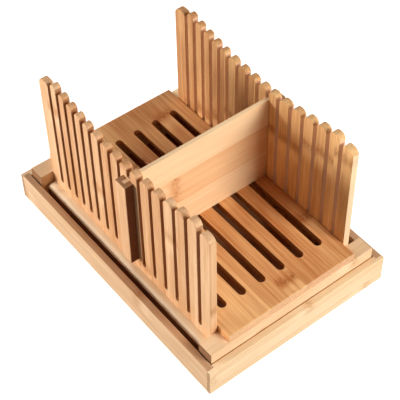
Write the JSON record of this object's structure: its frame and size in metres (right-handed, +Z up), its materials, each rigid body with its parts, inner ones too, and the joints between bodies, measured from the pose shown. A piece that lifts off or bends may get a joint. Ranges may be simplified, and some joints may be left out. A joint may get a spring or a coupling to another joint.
{
  "type": "bread slicer guide",
  "caption": "Bamboo bread slicer: a slotted deck on end rails in a crumb tray, between two slotted comb guides tied together by a divider board that drops into their knife slots.",
  "frame": {"origin": "on the table, under the middle of the crumb tray", "axes": "+X towards the slicer's right comb, +Y towards its back, along the loaf, +Z up"},
  "size_m": [0.2, 0.292, 0.1678],
  "materials": {
    "bamboo_tray": "satin oiled strip bamboo, long side of the strips showing",
    "bamboo_rails": "satin oiled strip bamboo",
    "bamboo_deck": "satin oiled strip bamboo, carbonised, with knuckle marks",
    "bamboo_combs": "satin oiled strip bamboo, sawn slots darker inside",
    "bamboo_divider": "satin oiled strip bamboo",
    "bamboo_pins": "sanded flush, end grain",
    "steel_screws": "zinc plated"
  },
  "bodies": {
    "tray": {"tray_left_rail": "bamboo_tray", "tray_right_rail": "bamboo_tray", "tray_front_rail": "bamboo_tray", "tray_back_rail": "bamboo_tray", "tray_floor": "bamboo_tray", "tray_corner_pins": "bamboo_pins"},
    "base": {"slotted_deck": "bamboo_deck", "front_end_rail": "bamboo_rails", "back_end_rail": "bamboo_rails", "deck_screws": "steel_screws"},
    "left_comb": {"left_comb_plate": "bamboo_combs", "left_comb_foot": "bamboo_rails", "left_foot_screws": "steel_screws"},
    "right_comb": {"right_comb_plate": "bamboo_combs", "right_comb_foot": "bamboo_rails", "right_foot_screws": "steel_screws"},
    "divider": {"divider_board": "bamboo_divider", "left_post": "bamboo_divider", "right_post": "bamboo_divider", "left_post_pins": "bamboo_pins", "right_post_pins": "bamboo_pins"}
  },
  "joints": [
    {"name": "base_lift", "type": "slide", "parent": "tray", "child": "base", "axis": [0, 0, 1], "range_m": [0, 0.04]},
    {"name": "left_comb_lift", "type": "slide", "parent": "base", "child": "left_comb", "axis": [0, 0, 1], "range_m": [0, 0.05]},
    {"name": "right_comb_lift", "type": "slide", "parent": "base", "child": "right_comb", "axis": [0, 0, 1], "range_m": [0, 0.05]},
    {"name": "divider_lift", "type": "slide", "parent": "left_comb", "child": "divider", "axis": [0, 0, 1], "range_m": [0, 0.125]}
  ],
  "couplings": [
    {"joint": "right_comb_lift", "follows": "left_comb_lift", "ratio": 1}
  ]
}
